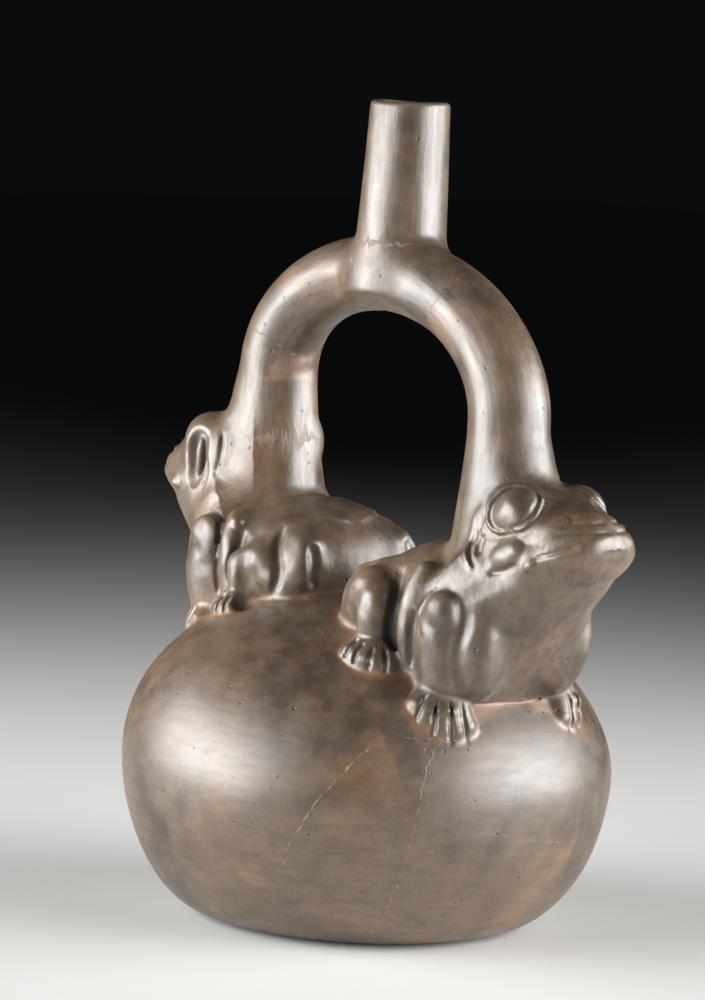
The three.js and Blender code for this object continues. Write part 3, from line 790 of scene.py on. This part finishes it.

# soot with painted shade in the hollows and deeper recesses, darkest where the clay closes in, and clay rubbed into
# the joints with the pot
soot_and_shade = node("MapRange", [hollows, 0.12, 0.75], **SMOOTH)
soot_and_shade = node("Math", [soot_and_shade, node("MapRange", [depths, 0.25, 0.8, 0, 0.8], **SMOOTH)], **MOST)
sooty_shade = node("Math", [soot_and_shade, node("MapRange", [mottle, 0.25, 0.6, 0.6, 1], **SMOOTH)], **TIMES)
seams = node("Math", [seams, node("MapRange", [mottle, 0.35, 0.6, 0.3, 1], **SMOOTH)], **TIMES)
seams = node("Math", [seams, 0.6], **TIMES)

# each point's place in millimetres, and how far a crack wavers there
millimetres = node("VectorMath", {0: place, "Scale": 1000.0}, operation="SCALE")
axes = dict(zip("xyz", node("SeparateXYZ", [millimetres]).node.outputs))
waver = node("Math", [node("Math", [waver, 0.5], **TAKE), 3.2], **TIMES)


def crack(along_axis, across_axis, points, width, keep_axis, keep_side):
    """A hairline that runs through points (along, across), in millimetres, on one side of the vessel."""
    low, high = points[0][0], points[-1][0]
    least, most = min(p[1] for p in points) - 2, max(p[1] for p in points) + 2
    run = axes[along_axis]
    curve = node("FloatCurve", {"Value": node("MapRange", [run, low, high])}).node
    line = curve.mapping.curves[0]
    for p in points[1:-1]:
        line.points.new(0.5, 0.5)
    for made, (u, v) in zip(line.points, points):
        made.location = ((u - low) / (high - low), (v - least) / (most - least))
    curve.mapping.update()
    middle = node("MapRange", [curve.outputs[0], 0, 1, least, most])
    off = node("Math", [node("Math", [axes[across_axis], middle], **TAKE), waver], **TAKE)
    shown = node("MapRange", [node("Math", [off], **SIZE), width, width * 0.3], **SMOOTH)
    for value, start, end in ((run, low, low + 1.5), (run, high, high - 1.5), (axes[keep_axis], 0, 4 * keep_side)):
        shown = node("Math", [shown, node("MapRange", [value, start, end], **SMOOTH)], **TIMES)
    return shown


# cracks that stayed open: two long ones and a short one on the pot, and two on the stirrup
open_cracks = 0.0
for job in [
    ("z", "x", [(26, 34.3), (32.7, 37.4), (42.2, 42.4), (53.5, 48.3), (63, 52.5)], 0.22, "y", -1),
    ("z", "y",
        [(5.8, -37.4), (15.7, -37.8), (26.4, -37.2), (37.7, -37.1), (49.4, -35.6), (58.9, -32.4), (65.1, -22.6)],
        0.2, "x", 1),
    ("y", "z", [(-39.8, 65.7), (-31.8, 64.9), (-22.6, 65.1)], 0.22, "x", 1),
    ("z", "x", [(176, 31.4), (184.5, 31.2), (187.2, 32.2), (192, 34.6), (204, 38)], 0.22, "y", -1),
    ("x", "z", [(-48, 173), (-44.5, 171.8), (-40.1, 169.4), (-36.9, 166.6), (-33, 164)], 0.22, "y", -1),
]:
    open_cracks = node("Math", [crack(*job), open_cracks], **MOST)
# and two fine pale ones on the pot that have closed again
closed_cracks = node("Math", [
    crack("y", "z", [(-17.9, 38.2), (-7.3, 36.7), (3.2, 34.3), (15.9, 32.7)], 0.17, "x", 1),
    crack("z", "y", [(23, 20.8), (41.8, 21.2), (49.3, 23.6)], 0.16, "x", 1),
], **MOST)
worn = node("MapRange", [worn, 0.36, 0.6], **SMOOTH)
crack_lips = node("Math", [open_cracks, node("MapRange", [worn, 0, 1, 0.1, 0.75], **SMOOTH)], **TIMES)
crack_dirt = node("Math", [node("Math", [open_cracks, node("Math", [1.0, worn], **TAKE)], **TIMES), 0.8], **TIMES)
closed_cracks = node("Math", [closed_cracks, node("Math", [worn, 0.55], **TIMES)], **TIMES)

# the mend on the far leg is a ring of paler, pinker clay
off_mend = node("Math", [node("Math", [axes["z"], 162.5], **TAKE), node("Math", [waver, 1.5], **TIMES)], **ADD)
mend = node("MapRange", [node("Math", [off_mend], **SIZE), 5.2, 4], **SMOOTH)
for start, end in ((-33, -36), (-47, -44)):
    mend = node("Math", [mend, node("MapRange", [axes["x"], start, end], **SMOOTH)], **TIMES)
mend = node("Math", [mend, node("MapRange", [mottle, 0.35, 0.65, 0.1, 0.6], **SMOOTH)], **TIMES)

# pits up to a millimetre across, left by burnt-out grit, in a quarter of the patches of 4 mm
pits = node("TexVoronoi", {"Vector": place, "Scale": 240.0, "Randomness": 1.0}).node.outputs
chosen = node("TexWhiteNoise", {"Vector": pits["Position"]}, "Value", noise_dimensions="3D")
pit = node("MapRange", [pits["Distance"], 0.13, 0.07], **SMOOTH)
pit = node("Math", [pit, node("MapRange", [chosen, 0.72, 0.74], **SMOOTH)], **TIMES)

colour = srgb("#40342a")
for amount, over in [
    (node("MapRange", [clouds, 0.38, 0.62], **SMOOTH), "#62513f"),
    (node("MapRange", [oranges, 0.52, 0.7, 0, 0.7], **SMOOTH), "#80624a"),
    (node("MapRange", [olives, 0.55, 0.72, 0, 0.5], **SMOOTH), "#595036"),
    (node("MapRange", [mottle, 0.35, 0.7, 0, 0.35], **SMOOTH), "#826c57"),
    (node("MapRange", [streak, 0.4, 0.7, 0, 0.5], **SMOOTH), "#362a20"),
    (node("MapRange", [grit, 0.3, 0.75, 0, 0.25], **SMOOTH), "#281e17"),
    # soot and painted shade, nearly black where the clay closes in over a point
    (sooty_shade, "#17110c"),
    # ridges painted lighter, worn edges together with a painted highlight where the clay falls away
    (node("MapRange", [ridges, 0.1, 0.5, 0, 0.35], **SMOOTH), "#9c846c"),
    (seams, "#946b4c"),
    (crack_lips, "#9a6c48"),
    (crack_dirt, "#1d140d"),
    (closed_cracks, "#9c8a76"),
    (mend, "#8a6c58"),
    # the pits painted near black, a painted shade inside each hollow
    (node("Math", [pit, 0.85], **TIMES), "#120d09"),
]:
    colour = node("Mix", {0: amount, 6: colour, 7: srgb(over)}, 2, data_type="RGBA")
tree.links.new(colour, shader.inputs["Base Color"])

# burnished clay shines softly, less between the strokes and not at all where soot and painted shade darken the
# hollows
gloss = node("MapRange", [streak, 0.3, 0.75, 0.34, 0.5], **SMOOTH)
gloss = node("Math", [gloss, node("Math", [soot_and_shade, 0.35], **TIMES)], **ADD)
gloss = node("Math", [gloss, node("MapRange", [mottle, 0.3, 0.7, -0.03, 0.05], **SMOOTH)], **ADD)
tree.links.new(gloss, shader.inputs["Roughness"])
shader.inputs["Specular IOR Level"].default_value = 0.8
shader.inputs["Coat Weight"].default_value = 0.2
shader.inputs["Coat Roughness"].default_value = 0.28

# strokes, grit and mottling stand up by a fraction of a millimetre, and cracks and pits go in
height = node("Math", [streak, 0.2], **TIMES)
for pattern, part, way in (
    (grit, 0.03, ADD), (mottle, 0.12, ADD), (node("Math", [open_cracks, pit], **MOST), 0.25, TAKE),
):
    height = node("Math", [height, node("Math", [pattern, part], **TIMES)], **way)
bump = node("Bump", {"Height": height, "Distance": 0.001, "Strength": 0.6}, "Normal")
tree.links.new(bump, shader.inputs["Normal"])
mesh.materials.clear()
mesh.materials.append(finish)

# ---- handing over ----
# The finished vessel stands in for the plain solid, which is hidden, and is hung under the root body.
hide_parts("vessel")
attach(clay_vessel, "root")
